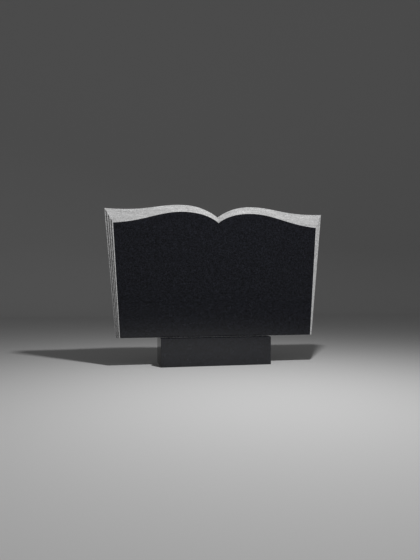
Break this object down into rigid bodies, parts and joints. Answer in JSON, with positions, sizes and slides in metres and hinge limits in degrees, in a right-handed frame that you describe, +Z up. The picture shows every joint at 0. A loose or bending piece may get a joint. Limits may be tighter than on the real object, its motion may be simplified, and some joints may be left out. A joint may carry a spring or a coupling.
{
  "type": "headstone",
  "caption": "Open-book headstone: a polished dark granite tablet shaped as an open book with unpolished page edges, standing on a low rectangular plinth.",
  "frame": {"origin": "on the ground, under the middle of the tablet's width and depth; the ground is z = 0", "axes": "+X along the tablet's width, to the right seen from the front; +Y from the polished front to the back; +Z up"},
  "size_m": [1.2128, 0.2, 0.8611],
  "materials": {
    "book_granite": "polished fine-grained black granite on the front and back, with a pale unpolished finish on the bevel and the edges",
    "plinth_granite": "polished fine-grained black granite"
  },
  "bodies": {
    "root": {"book_tablet": "book_granite", "plinth": "plinth_granite"}
  },
  "joints": []
}
